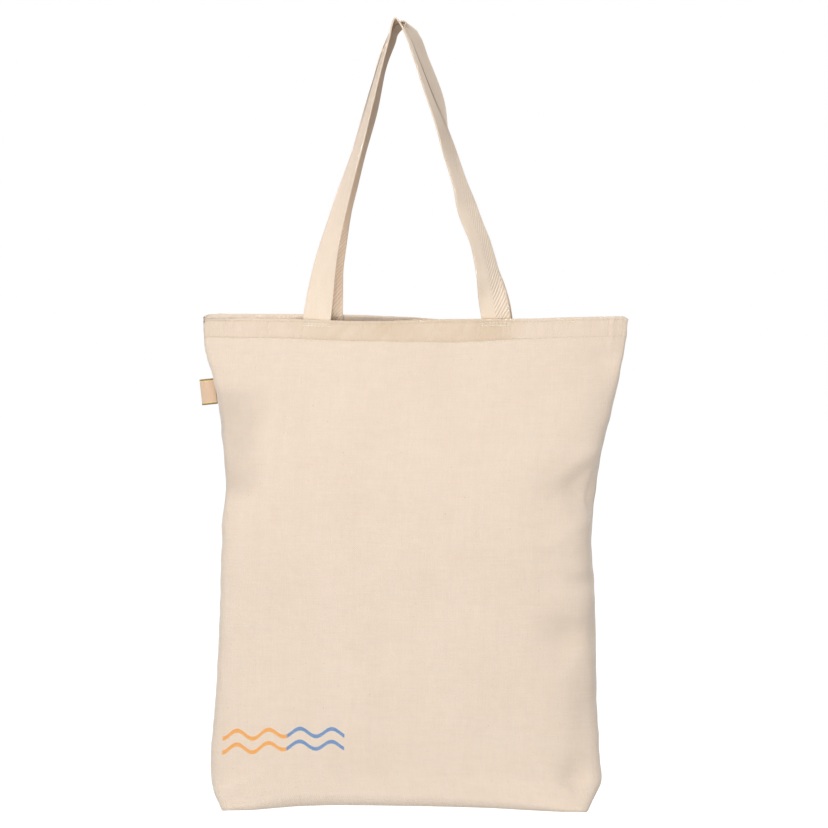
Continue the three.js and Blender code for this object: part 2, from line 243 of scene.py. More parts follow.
# The middle of each handle's tape from its left end to its right one, and how far the tape has turned
HANDLES = dict(
    front=table(
        "x z turn",
        (-69.6, -271, 0), (-66.5, -249, 3), (-59.4, -208, 28), (-51, -175, 44.6),
        (-43.2, -148, 52), (-31.9, -113, 64), (-22.5, -78, 69), (-13, -43.4, 75),
        (-5.6, -18.5, 78), (-1.8, -7.5, 84), (2, -2.4, 90), (11.2, -15.8, 93.5),
        (18.4, -35, 94.3), (27.2, -59.5, 98.8), (38.3, -88.4, 105.8), (46.8, -114.8, 113),
        (55, -140, 116), (62.8, -165.8, 129), (72.7, -191, 130), (78.7, -216.8, 138),
        (84.8, -249, 178), (87.6, -271, 180),
    ),
    back=table(
        "x z turn",
        (-58.4, -271, 0), (-58.4, -249, 0), (-57.4, -216.8, 20), (-53.6, -191, 35),
        (-48.6, -165.8, 48), (-40.6, -140, 60), (-33.2, -114.8, 68), (-21.2, -76.5, 76),
        (-14.2, -42.5, 78), (-9.2, -25.5, 79), (-5.6, -15.3, 81), (-2, -5.5, 86),
        (5.5, 0.6, 88), (10.1, -1, 78), (11.7, -5.5, 69), (15.3, -13.5, 68),
        (23, -35, 74.6), (32.6, -59.5, 75.4), (37.5, -74, 80.3), (41.2, -88.4, 90),
        (47, -114.8, 110), (55, -140, 116), (62.8, -165.8, 129), (72, -191, 130),
        (78.6, -216.8, 138), (85.5, -249, 178), (88.2, -271, 180),
    ),
)
CREST_Y = TAPE_WIDTH / 2 + SEW_GAP
CREST_Z = 0.6
CREST_LEAN = 0.12
CREST_REACH = 45
CREST_SOFT = 1

# The two printed wavy lines low on the front: their place on the flat cut, and their two inks
PRINT = dict(left=34, split=90, right=139, lines=(355, 367), swing=3.6, length=27, stroke=3.6)
INKS = ((0.90, 0.38, 0.06), (0.09, 0.26, 0.55))
INK = dict(cover=0.86, grain=0.5, weave=0.05, wander=0.0009)

# Colours of the cloth, from darkest to lightest: partly the threads' own uneven tone, partly painted shade
# in the weave's hollows
CANVAS_COLOURS = ((0.70, 0.567, 0.450), (0.86, 0.733, 0.616))
CANVAS_TONE = 0.62
TONE_ENDS = (0.1, 0.9)
WEAVE = dict(pitch=0.00085, tone=0.08, height=0.45)

# Herringbone ribs of the webbing, with a sunken spine and knotted edges
RIBS = dict(pitch=0.0039, middle=0.64, wander=0.0006, spine=0.0005, sunk=0.2, edge=1.1, knots=0.0016)
TAPE_TONE = 0.68
TAPE_GRAIN = 0.35
RIB_HEIGHT = 1.7

# The two faces of the webbing: the slant of its ribs, how strong their painted shading is where light
# doesn't rake them and where it does, its colours (the inner face's warmer ones are painted shade), how
# dark the painted shade near the top is, where along the tape it lies and fades, and how much darker the
# right end is painted
TAPE_FACES = dict(
    outer=dict(
        slope=1.28, shading=0.1, lit_ribs=0.8, colours=((0.74, 0.60, 0.46), (0.90, 0.775, 0.645)),
        top_shade=0.34, top_shade_middle=0.345, top_shade_fade=0.09, darker=0.2,
    ),
    inner=dict(
        slope=-1.28, shading=0.55, lit_ribs=0.55, colours=((0.74, 0.54, 0.38), (0.97, 0.81, 0.65)),
        top_shade=0.6, top_shade_middle=0.29, top_shade_fade=0.2, darker=0.0,
    ),
)

# Painted shade on each tape: how dark it is along the edge in the gap by the other handle, how far in that
# reaches, and its rim
TAPE_SHADE_COLOUR = (0.34, 0.235, 0.16)
EDGE_SHADE = dict(
    front=dict(edge=1.0, reach=(4.5, 9), rim=0.15),
    back=dict(edge=0.0, reach=(0.8, 3.6), rim=0.0),
)
EDGE_SHADE_PLACE = dict(middle=0.29, fade=0.13)
SHADE_FULL = 0.4
RIM = 0.2

# Which face of each tape comes first, and where along the tape its ribs' painted shading turns strong and
# its cloth is painted darker
FACE_ORDER = dict(front=("outer", "inner"), back=("inner", "outer"))
LIT_RIBS_FROM = (0.38, 0.30)
DARKER_END_FROM = (0.56, 0.51)

# The hem's doubled cloth: its painted shade along the cut, where two plies let less light through, and
# painted shadow lines along its stitches
HEM_SHADE_COLOUR = (0.70, 0.555, 0.40)
HEM_SHADE_SHARES = [(0.2, 0.3), (0.3, 1), (0.7, 1), (0.77, 0.12)]
HEM_SHADE = dict(middle=0.6, waver=0.0022, foot=(-0.8, 1.4), line=(0.0002, 0.0014), line_end=(0.262, 0.282))
HEM_SHADOW_LINES = ((TOP_LINE, 0.2), (STITCH_LINE, 0.35))
HEM_RIDGE = 4.0
FLECK_COLOUR = (0.30, 0.17, 0.08)

# Painted shade that greys the canvas by the left seam: its reach across the cut, its top and its foot
LEFT_SEAM_SHADE = dict(across=(46, 70), top=(88, 70), foot=(160, 178), share=0.27, uneven=1.6)
LEFT_SEAM_SHADE_COLOUR = (0.50, 0.42, 0.345)

RIBBON_COLOURS = dict(middle=(0.77, 0.56, 0.40), gold=(0.84, 0.62, 0.33), line=(0.33, 0.24, 0.10))
THREAD_COLOURS = dict(hem=(0.80, 0.66, 0.52), handle=(0.98, 0.88, 0.76))
TWIST = dict(scale=1500.0, pale=1.06, darker=0.82)


# Curves through tables


def smooth_step(t):
    t = min(max(t, 0), 1)
    return t * t * (3 - 2 * t)


def blend(a, b, t):
    return a + (b - a) * t


def slope_at(knots, values, i):
    before = (values[i] - values[i - 1]) / (knots[i] - knots[i - 1])
    after = (values[i + 1] - values[i]) / (knots[i + 1] - knots[i])
    if before * after <= 0:
        return 0
    return 2 * before * after / (before + after)


def curve_at(knots, values, at):
    """A smooth curve through the knots that never overshoots them."""
    last = len(knots) - 1
    rising = knots[last] > knots[0]
    i = 0
    while i < last - 1 and (at > knots[i + 1] if rising else at < knots[i + 1]):
        i += 1
    span = knots[i + 1] - knots[i]
    chord = (values[i + 1] - values[i]) / span
    start = slope_at(knots, values, i) if i > 0 else chord
    end = slope_at(knots, values, i + 1) if i < last - 1 else chord
    t = min(max((at - knots[i]) / span, 0), 1)
    bend = (1 - t) * t * span * ((1 - t) * (start - chord) - t * (end - chord))
    return blend(values[i], values[i + 1], t) + bend


def look_up(rows, key, at, name):
    return curve_at([row[key] for row in rows], [row[name] for row in rows], at)


def ripple(kind, first, second, seed):
    """Smooth noise of one of the listed kinds."""
    height, first_length, second_length = RIPPLES[kind]
    return height * noise.noise(Vector((first / first_length, second / second_length, seed)))


# The bag's plan


def edge_at(z, edge):
    """The left or right edge of the bag at one height, not quite straight."""
    wobble = ripple("edge", z, EDGE_SEEDS[edge], 0)
    return look_up(SECTIONS, "z", z, edge) + wobble * smooth_step((z - BASE_Z) / EDGE_FADE)


def half_outline(left, right, depth, square):
    """Half of a squared ellipse with a rounder right end, from the left seam to the right seam."""
    angle = np.linspace(0, math.pi, OUTLINE_STEPS + 1)
    across = np.cos(angle)
    power = np.where(across > 0, 2 / square, 2 / max(square * RIGHT_ROUND, 2))
    reach = np.sign(across) * np.abs(across) ** power
    return (left + right - (right - left) * reach) / 2, depth * np.abs(np.sin(angle)) ** power


def lengths_along(x, depth):
    return np.concatenate([[0], np.cumsum(np.hypot(np.diff(x), np.diff(depth)))])


@lru_cache(maxsize=None)
def plan_at(z):
    """Canvas doesn't stretch, so the ends are square enough for an outline as long as the panel."""
    left, right = edge_at(z, "left"), edge_at(z, "right")
    bulge = look_up(SECTIONS, "z", z, "depth")
    low, high = SQUARE_RANGE
    for _ in range(SQUARE_PASSES):
        trial = (low + high) / 2
        x, depth = half_outline(left, right, bulge, trial)
        if lengths_along(x, depth)[-1] < PANEL_WIDTH:
            low = trial
        else:
            high = trial
    along = lengths_along(x, depth)
    return x, depth * (1 - mouth_closing(x, z)), along * PANEL_WIDTH / along[-1]


def mouth_closing(x, z):
    """How far the two hems draw together: most at the left end of the mouth, and less below it."""
    left, right = MOUTH_CLOSE["left"], MOUTH_CLOSE["right"]
    t = np.clip((x - left) / (right - left), 0, 1)
    near = max(1 - (MOUTH_Z - z) / MOUTH_CLOSE["fade"], 0)
    return MOUTH_CLOSE["share"] * (1 - t * t * (3 - 2 * t)) * near**2


def on_plan(z, s):
    """The place on the plan at a distance from the left seam, and the level way out of the bag."""
    x, depth, along = plan_at(round(z, 3))
    near = [max(s - PROBE, 0), s, min(s + PROBE, PANEL_WIDTH)]
    px, py = np.interp(near, along, x), np.interp(near, along, depth)
    out = Vector((py[0] - py[2], px[2] - px[0]))
    if s < PROBE:
        out = Vector((-1, 0))
    if s > PANEL_WIDTH - PROBE:
        out = Vector((1, 0))
    return px[1], py[1], out.normalized()


def distance_at(x, z):
    """How far along the panel from its left seam a place on the wall lies."""
    plan_x, _, along = plan_at(round(z, 3))
    return float(np.interp(x, plan_x, along))


def wall_depth(x, z):
    plan_x, depth, _ = plan_at(round(z, 3))
    return float(np.interp(x, plan_x, depth))


# Shape of the cloth


def swell(name, s, down):
    seed = SWELL_SEED * SIDES[name]
    total = 0
    for row in SWELLS:
        spot = Vector((s / row["length"], down / row["length"], seed + row["length"]))
        total += row["height"] * noise.noise(spot)
    return total


def dent(name, x, z):
    total = 0
    for row in DENTS[name]:
        across = (x - row["x"]) / (row["left"] if x < row["x"] else row["right"])
        down = (z - row["z"]) / row["tall"]
        total += row["depth"] * math.exp(-across * across - down * down)
    return total


def crease(name, x, z):
    total = 0
    for row in CREASES[name]:
        start, end = Vector(row["start"]), Vector(row["end"])
        run = end - start
        at = (Vector((x, z)) - start).dot(run) / run.length_squared
        off = (Vector((x, z)) - start - run * min(max(at, 0), 1)).length / row["wide"]
        total += row["height"] * math.exp(-off * off) * (1 - smooth_step(at))
    return total


def strap_step(name, s, depth):
    """The hem stands out a little over each sewn end of its handle."""
    above = 1 - smooth_step((depth - STRAP_STEP["foot"]) / STRAP_STEP["foot_fade"])
    total = 0
    for row in (HANDLES[name][1], HANDLES[name][-2]):
        off = abs(s - distance_at(row["x"], MOUTH_Z - depth))
        total += 1 - smooth_step((off - STRAP_STEP["half"]) / STRAP_STEP["fade"])
    return STRAP_STEP["height"] * above * total


def hem_relief(name, s, down):
    depth = abs(down)
    total = strap_step(name, s, depth)
    eased = STITCH_DIP["eased"] * smooth_step((s - PUCKERS[0]["end"]) / STITCH_DIP["ease"] + 0.5)
    for line in (TOP_LINE, STITCH_LINE):
        off = (depth - line) / STITCH_DIP["half"]
        total -= STITCH_DIP["depth"] * (1 - eased) * math.exp(-off * off)
    band = smooth_step(depth / PUCKER["top"]) * (1 - smooth_step((depth - STITCH_LINE) / PUCKER["fade"]))
    for row in PUCKERS:
        starts = smooth_step((s - row["start"]) / PUCKER["ends"] + 0.5)
        stops = smooth_step((row["end"] - s) / PUCKER["ends"] + 0.5)
        slanted = (s + row["slant"] * depth) / row["pitch"]
        spot = Vector((slanted, depth / PUCKER["tall"], PUCKER["seed"] * SIDES[name]))
        total += row["height"] * starts * stops * band * noise.noise(spot)
    return total


def relief(name, s, x, z, down):
    """How far the cloth stands out of the plain plan at one place."""
    to_seam = min(s, PANEL_WIDTH - s)
    fade = smooth_step(to_seam / SEAM_FADE)
    out = fade * (swell(name, s, down) - dent(name, x, z) + crease(name, x, z))
    if abs(down) < HEM_TURN + PUCKER["fade"]:
        out += fade * hem_relief(name, s, down)
    return out - SEAM_GROOVE * (1 - smooth_step(to_seam / SEAM_TURN))


def hem_fold(down):
    """Round the fold at the mouth: the step into the bag, and the drop below the mouth's edge."""
    quarter = HEM_RADIUS * math.pi / 2
    if abs(down) < quarter:
        angle = down / HEM_RADIUS
        return HEM_RADIUS * (1 - math.sin(angle)), HEM_RADIUS * (1 - math.cos(angle))
    step = 0 if down > 0 else 2 * HEM_RADIUS
    return step, abs(down) - quarter + HEM_RADIUS


def deep_hem(x, drop):
    """How much lower the hem's foot lies where the front hem is turned deeper."""
    off = (x - DEEP_HEM["x"]) / DEEP_HEM["reach"]
    below = 1 - smooth_step((drop - STITCH_LINE) / DEEP_HEM["fade"])
    return DEEP_HEM["drop"] * math.exp(-off * off) * smooth_step(drop / STITCH_LINE) * below


def wall_point(name, s, down):
    step, drop = hem_fold(down)
    quarter = HEM_RADIUS * math.pi / 2
    z = MOUTH_Z - drop * WALL / (WALL - quarter + HEM_RADIUS)
    x, depth, out = on_plan(z, s)
    shift = relief(name, s, x, z, down) - step
    share = (MOUTH_Z - z) / (MOUTH_Z - BASE_Z)
    edge = look_up(MOUTH, "x", x, name) - MOUTH_Z
    lift = edge * (1 - share) ** MOUTH_FADE + look_up(BASE, "x", x, "roll") * share**ROLL_FADE
    to_seam = min(s, PANEL_WIDTH - s)
    corner = 1 - smooth_step(to_seam / CORNER["reach"])
    lift -= CORNER["drop"] * corner * (1 - smooth_step(drop / CORNER["fade"]))
    if name == "front":
        lift -= deep_hem(x, drop)
    depth = max(depth + out.y * shift, SEAM_HALF)
    return Vector((x + out.x * shift, SIDES[name] * depth, z + lift))


@lru_cache(maxsize=None)
def foot(name, s):
    return wall_point(name, s, WALL)


def base_point(name, s, under):
    """A place on the base, whose ends are sewn to the lower edges of the sides."""
    first, last = HALF_BASE, PANEL_WIDTH - HALF_BASE
    left = foot(name, round(first - under, 3))
    right = foot(name, round(last + under, 3))
    start, end = foot(name, first), foot(name, last)
    here = foot(name, round(min(max(s, first), last), 3))
    across = (here.x - start.x) / (end.x - start.x)
    share = left.y / start.y
    hang = look_up(BASE, "x", here.x, "roll") - look_up(BASE, "x", here.x, "low")
    sag = hang * max(1 - share**BASE_POWER, 0) ** (1 / BASE_POWER)
    drawn = 1 - smooth_step((HALF_BASE - under) / SEAM_TURN)
    tuck = SEAM_GROOVE * drawn * smooth_step(hang / BASE_TUCK)
    return Vector((blend(left.x, right.x, across), here.y * share, here.z - sag + tuck))


def panel_point(name, s, down):
    if down > WALL:
        return base_point(name, s, down - WALL)
    return wall_point(name, s, down)


def canvas_frame(name, s, down):
    """A place on the canvas, with the directions across it, down it and out of the bag."""
    here = panel_point(name, s, down)
    across = panel_point(name, s + PROBE, down) - panel_point(name, s - PROBE, down)
    below = panel_point(name, s, down + PROBE) - panel_point(name, s, down - PROBE)
    out = below.cross(across) * -SIDES[name]
    return here, across.normalized(), below.normalized(), out.normalized()


# Meshes


def place_flat(bm, place):
    """Moves each point of a flat cut to its place on the bag, and keeps the cut as the cloth's own map."""
    cut = bm.loops.layers.uv.new("cut")
    for face in bm.faces:
        for loop in face.loops:
            loop[cut].uv = loop.vert.co.xy * MM
    for vert in bm.verts:
        vert.co = place(vert.co.x, vert.co.y)


def flat_cut(width, length, columns, rows):
    """A flat rectangle of cloth from the origin to its width and length."""
    bm = bmesh.new()
    lay = Matrix.Translation((width / 2, length / 2, 0)) @ Matrix.Diagonal((width, length, 1, 1))
    bmesh.ops.create_grid(bm, x_segments=columns, y_segments=rows, size=0.5, matrix=lay)
    return bm


def cut_line(bm, at, direction):
    geom = bm.verts[:] + bm.edges[:] + bm.faces[:]
    bmesh.ops.bisect_plane(bm, geom=geom, dist=1e-4, plane_co=at, plane_no=direction)


def mesh_of(bm, name):
    mesh = bpy.data.meshes.new(name)
    bm.to_mesh(mesh)
    bm.free()
    return mesh


def add_object(name, data):
    made = bpy.data.objects.new(name, data)
    bpy.context.scene.collection.objects.link(made)
    return made


def make_piece(bm, name, finish):
    bmesh.ops.scale(bm, vec=(MM, MM, MM), verts=bm.verts)
    mesh = mesh_of(bm, name)
    mesh.materials.append(finish)
    mesh.shade_smooth()
    piece = add_object(name, mesh)
    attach(piece, "root")
    return piece


def give_thickness(piece, thickness, edge=0):
    wall = piece.modifiers.new("thickness", "SOLIDIFY")
    wall.thickness = thickness * MM
    wall.offset = 0
    if edge:
        soft = piece.modifiers.new("soft edge", "BEVEL")
        soft.width = edge * MM
        soft.segments = 2
        soft.limit_method = "ANGLE"
        soft.angle_limit = math.radians(60)


# Canvas panels


def canvas_panel(name, finish):
    """One panel, cut flat with a notch at each lower corner, then formed and sewn shut at the notches."""
    length = HEM_TURN + WALL + HALF_BASE
    bm = flat_cut(PANEL_WIDTH, length, PANEL_WIDTH // CELL, length // CELL)
    rows = [HEM_TURN + side * cut for cut in FOLD_CUTS for side in (-1, 1)]
    rows += [HEM_TURN + line + cut for line in (TOP_LINE, STITCH_LINE) for cut in STITCH_CUTS]
    rows += [length - cut for cut in SEAM_CUTS]
    for at in rows:
        cut_line(bm, (0, at, 0), (0, 1, 0))
    for cut in SEAM_CUTS:
        cut_line(bm, (cut, 0, 0), (1, 0, 0))
        cut_line(bm, (PANEL_WIDTH - cut, 0, 0), (1, 0, 0))
    for at in RIDGE_CUTS:
        cut_line(bm, (at, 0, 0), (1, 0, 0))
    corner = HEM_TURN + WALL
    notches = [face for face in bm.faces if in_notch(face.calc_center_median(), corner)]
    bmesh.ops.delete(bm, geom=notches, context="FACES")
    place_flat(bm, lambda s, along: panel_point(name, round(s, 3), round(along - HEM_TURN, 3)))
    bmesh.ops.remove_doubles(bm, verts=bm.verts, dist=SEWN_SHUT)
    piece = make_piece(bm, f"{name}_canvas", finish)
    give_thickness(piece, CANVAS)
    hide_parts(f"{name}_panel")
    return piece


def in_notch(spot, corner):
    to_seam = min(spot.x, PANEL_WIDTH - spot.x)
    return spot.y > corner and to_seam < HALF_BASE


# Handles


def handle_value(rows, name, at):
    return curve_at(list(range(len(rows))), [row[name] for row in rows], at)


def leg_base(rows, at):
    """The row where the leg that holds this place meets the mouth."""
    crest = max(range(len(rows)), key=lambda i: rows[i]["z"])
    return rows[1] if at < crest else rows[-2]


def sewn_depth(name, x, z):
    edge = look_up(MOUTH, "x", x, name)
    level = min(z - edge, 0) + MOUTH_Z
    return wall_depth(x, level) - 2 * HEM_RADIUS - CANVAS / 2 - SEW_GAP - TAPE / 2


def handle_point(name, at):
    """The middle of the tape. Each handle keeps its turned tape on its own side of the bag's middle."""
    rows = HANDLES[name]
    x, z = handle_value(rows, "x", at), handle_value(rows, "z", at)
    turn = math.radians(handle_value(rows, "turn", at))
    base = leg_base(rows, at)
    rise = min(max((z - base["z"]) / (CREST_Z - base["z"]), 0), 1)
    hanging = blend(sewn_depth(name, base["x"], z), CREST_Y, rise)
    turned = (TAPE_WIDTH * math.sin(turn) + TAPE * abs(math.cos(turn))) / 2 + TAPE_GAP
    depth = (hanging + turned + math.hypot(hanging - turned, CREST_SOFT)) / 2
    return Vector((x, SIDES[name] * depth, z))


def handle_frame(name, at):
    """The middle of the tape, and the directions across it and out of its face."""
    rows = HANDLES[name]
    end = len(rows) - 1
    after, before = min(at + HANDLE_PROBE, end), max(at - HANDLE_PROBE, 0)
    along = (handle_point(name, after) - handle_point(name, before)).normalized()
    turn = math.radians(handle_value(rows, "turn", at))
    base = leg_base(rows, at)["x"]
    rise = wall_depth(base + HEM_PROBE, MOUTH_Z) - wall_depth(base - HEM_PROBE, MOUTH_Z)
    hem = math.atan2(rise, 2 * HEM_PROBE)
    angle = SIDES[name] * (turn + hem * math.cos(turn) ** 2)
    across = Vector((math.cos(angle), math.sin(angle), 0))
    across = (across - along * across.dot(along)).normalized()
    return handle_point(name, at), across, along.cross(across)


def webbing_handle(name):
    end = len(HANDLES[name]) - 1
    steps = np.linspace(0, end, HANDLE_STEPS)
    spots = [handle_point(name, at) for at in steps]
    gone = np.cumsum([0] + [(b - a).length for a, b in zip(spots, spots[1:])])
    bm = flat_cut(TAPE_WIDTH, gone[-1], TAPE_COLUMNS, int(gone[-1] / TAPE_CELL))

    def place(across, along):
        middle, sideways, up = handle_frame(name, float(np.interp(along, gone, steps)))
        off = across - TAPE_WIDTH / 2
        spot = middle + sideways * off + up * ripple("tape", across, along, SIDES[name])
        spot.z -= CREST_LEAN * (spot.y + TAPE_WIDTH) * smooth_step(1 + middle.z / CREST_REACH)
        return spot

    place_flat(bm, place)
    near, far = [webbing_finish(name, face) for face in FACE_ORDER[name]]
    piece = make_piece(bm, f"{name}_webbing", near)
    piece.data.materials.append(far)
    give_thickness(piece, TAPE, TAPE_EDGE)
    piece.modifiers["thickness"].material_offset = 1
    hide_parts(f"{name}_handle")
    return piece


# Stitches


def add_stitch(bm, middle, along, out, length, thick):
    side = out.cross(along)
    turn = Matrix((side, out, along)).transposed().to_4x4()
    size = Matrix.Diagonal((thick, thick * THREAD_FLAT, length / 2, 1))
    lay = Matrix.Translation(middle) @ turn @ size
    bmesh.ops.create_uvsphere(bm, u_segments=6, v_segments=5, radius=1, matrix=lay)


def sew_run(bm, name, start, end, pitch, length, thick):
    """A straight run of stitches on the outside of one panel, between two places on its cut."""
    start, end = Vector(start), Vector(end)
    count = max(int((end - start).length / pitch), 1)
    for i in range(count):
        s, down = start.lerp(end, (i + 0.5) / count)
        here, across, below, out = canvas_frame(name, s, down)
        heading = (across * (end - start).x + below * (end - start).y).normalized()
        add_stitch(bm, here + out * (CANVAS / 2 + thick * THREAD_LIFT), heading, out, length, thick)


def sewn_ends(name):
    """The two sides of each sewn end of a handle, as distances along the panel."""
    for row in (HANDLES[name][1], HANDLES[name][-2]):
        middle = distance_at(row["x"], MOUTH_Z - SEWN_MIDDLE)
        yield middle - TAPE_WIDTH / 2, middle + TAPE_WIDTH / 2


def hem_stitches(name, finish):
    """Rows along the hem's edge and foot, and one down each side of the handles' ends."""
    bm = bmesh.new()
    for line in (TOP_LINE, STITCH_LINE):
        sew_run(bm, name, (HEM_ENDS, line), (PANEL_WIDTH - HEM_ENDS, line), **STITCHES["row"])
    top, low = SIDE_RUN
    for sides in sewn_ends(name):
        for s in sides:
            sew_run(bm, name, (s, top), (s, low), **STITCHES["side"])
    return make_piece(bm, f"{name}_hem_stitches", finish)


def handle_stitches(name, finish):
    """Rows across each sewn end of a handle."""
    bm = bmesh.new()
    for left, right in sewn_ends(name):
        for down in ACROSS_ROWS:
            sew_run(bm, name, (left, down), (right, down), **STITCHES["across"])
    return make_piece(bm, f"{name}_handle_stitches", finish)


# Seam allowances


def seam_allowance(title, finish, width, length, columns, rows, place):
    """Both plies of a seam's allowance, each cut flat and set in its place."""
    bm = bmesh.new()
    for name in SIDES:
        strip = flat_cut(width, length, columns, rows)
        place_flat(strip, partial(place, name))
        join_cut(bm, strip)
    piece = make_piece(bm, title, finish)
    give_thickness(piece, ALLOWANCE_PLY)
    return piece


def side_allowance(edge, inwards, finish):
    """The allowance of a side seam, standing into the bag below the hem."""
    top = MOUTH_Z - HEM_TURN - SIDE_ALLOWANCE["top"]
    length = top - BASE_Z - SIDE_ALLOWANCE["foot"]

    def place(name, reach, along):
        ply = SIDES[name]
        z = top - along
        wave = ripple("side_wave", along, reach, 3 * ply)
        x = edge_at(z, edge) + inwards * (SIDE_ALLOWANCE["inset"] + reach + wave)
        lean = reach / ALLOWANCE * ripple("side_lean", along, 5, inwards)
        return Vector((x, ply * SEAM_HALF + lean, z))

    cut = (ALLOWANCE, length, ALLOWANCE_CELLS, SIDE_ALLOWANCE["rows"])
    piece = seam_allowance(f"{edge}_seam_allowance", finish, *cut, place)
    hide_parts(f"{edge}_side_seam")


def bottom_allowance(finish):
    """The allowance of the bottom seam, standing up from the middle of the base."""
    first = HALF_BASE + BASE_ALLOWANCE["ends"]

    def place(name, along, reach):
        floor = base_point(name, first + along, HALF_BASE)
        lean = reach / ALLOWANCE * ripple("base_lean", along, 9, 2)
        return Vector((floor.x, SIDES[name] * SEAM_HALF + lean, floor.z + BASE_ALLOWANCE["rise"] + reach))

    cut = (PANEL_WIDTH - 2 * first, ALLOWANCE, BASE_ALLOWANCE["columns"], ALLOWANCE_CELLS)
    piece = seam_allowance("bottom_seam_allowance", finish, *cut, place)
    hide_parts("bottom_seam")


def join_cut(bm, strip):
    loose = mesh_of(strip, "loose cut")
    bm.from_mesh(loose)
    bpy.data.meshes.remove(loose)


# Ribbon tag


def ribbon_tag(finish):
    """A ribbon folded double, its loop outwards and its two ends caught in the left seam."""
    half = (TAG["ply"] + TAG["slit"]) / 2
    straight = TAG["reach"] - half
    turn = math.pi * half
    bm = flat_cut(2 * straight + turn, TAG["height"], **TAG_CELLS)
    above = edge_at(TAG["z"] + TAG["height"] / 2, "left")
    below = edge_at(TAG["z"] - TAG["height"] / 2, "left")
    tilt = Matrix.Rotation(math.radians(TAG["tilt"]), 3, "Y")
    seat = Vector(((above + below) / 2 - TAG["sunk"], 0, TAG["z"]))

    def place(along, across):
        sag = ripple("tag", along, across, 2)
        height = across - TAG["height"] / 2
        to_seam = min(along, 2 * straight + turn - along)
        puff = half + TAG["bulge"] * math.sin(math.pi * min(to_seam / straight, 1))
        if along < straight:
            spot = Vector((-to_seam, -puff + sag, height))
        elif along > straight + turn:
            spot = Vector((-to_seam, puff + sag, height))
        else:
            angle = (along - straight) / half
            spot = Vector((-straight - half * math.sin(angle), -half * math.cos(angle) + sag, height))
        return seat + tilt @ spot

    place_flat(bm, place)
    piece = make_piece(bm, "folded_ribbon_tag", finish)
    give_thickness(piece, TAG["ply"])
    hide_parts("side_tag")
    return piece


# Finishes


def add_node(tree, kind, inputs=None, **settings):
    made = tree.nodes.new(kind)
    for name, value in settings.items():
        setattr(made, name, value)
    for name, value in (inputs or {}).items():
        if isinstance(value, bpy.types.NodeSocket):
            tree.links.new(value, made.inputs[name])
        else:
            made.inputs[name].default_value = value
    return made


def calc(tree, operation, *values):
    return add_node(tree, "ShaderNodeMath", dict(enumerate(values)), operation=operation).outputs[0]


def times(tree, a, b):
    return calc(tree, "MULTIPLY", a, b)


def times_plus(tree, a, b, c):
    return calc(tree, "MULTIPLY_ADD", a, b, c)


def apart(tree, a, b):
    return calc(tree, "ABSOLUTE", calc(tree, "SUBTRACT", a, b))


def stretched_noise(tree, across, along, wide, tall, detail=2.0):
    """Noise whose grains are so many metres wide and tall on the cloth."""
    x, y = calc(tree, "DIVIDE", across, wide), calc(tree, "DIVIDE", along, tall)
    spot = add_node(tree, "ShaderNodeCombineXYZ", {"X": x, "Y": y, "Z": wide * 100})
    inputs = {"Vector": spot.outputs[0], "Scale": 1.0, "Detail": detail}
    return add_node(tree, "ShaderNodeTexNoise", inputs).outputs[0]


def weighted_sum(tree, middle, parts):
    """The middle value, plus each noise about its own middle times its weight."""
    total = calc(tree, "ADD", middle, 0.0)
    for value, weight in parts:
        centred = calc(tree, "SUBTRACT", value, 0.5)
        total = times_plus(tree, centred, weight, total)
    return total


def ramp(tree, value, stops):
    made = add_node(tree, "ShaderNodeValToRGB", {"Fac": value})
    colours = made.color_ramp.elements
    while len(colours) < len(stops):
        colours.new(0.5)
    for element, (at, colour) in zip(colours, stops):
        element.position = at
        element.color = (*colour, 1)
    return made.outputs["Color"]


def with_alpha(colour):
    return (*colour, 1) if isinstance(colour, tuple) else colour


def mix_colour(tree, share, under, over):
    inputs = {0: share, 6: with_alpha(under), 7: with_alpha(over)}
    return add_node(tree, "ShaderNodeMix", inputs, data_type="RGBA").outputs[2]


def new_finish(name, roughness, sheen, translucent=0.12):
    finish = bpy.data.materials.new(name)
    finish.use_nodes = True
    tree = finish.node_tree
    shader = tree.nodes["Principled BSDF"]
    inputs = {
        "Roughness": roughness,
        "Specular IOR Level": 0.2,
        "Subsurface Weight": translucent,
        "Subsurface Radius": (1.0, 0.8, 0.6),
        "Subsurface Scale": 0.0015,
        "Sheen Weight": sheen,
        "Sheen Roughness": 0.5,
    }
    for socket, value in inputs.items():
        shader.inputs[socket].default_value = value
    return finish, tree, shader


def cut_place(tree):
    """Where on its flat cut a point of the cloth lies, in metres."""
    cut = add_node(tree, "ShaderNodeUVMap", uv_map="cut")
    parts = add_node(tree, "ShaderNodeSeparateXYZ", {"Vector": cut.outputs[0]})
    return cut.outputs[0], parts.outputs["X"], parts.outputs["Y"]


def dress(tree, shader, colour, height, distance):
    """Gives a finish its colour and its fine relief."""
    tree.links.new(colour, shader.inputs["Base Color"])
    made = add_node(tree, "ShaderNodeBump", {"Height": height, "Strength": 1.0, "Distance": distance})
    tree.links.new(made.outputs["Normal"], shader.inputs["Normal"])


def sine(tree, value, pitch):
    return calc(tree, "SINE", times(tree, value, math.pi / pitch))


def plain_weave(tree, across, along, pitch):
    """Over and under of single threads, from -1 to 1."""
    return times(tree, sine(tree, across, pitch), sine(tree, along, pitch))


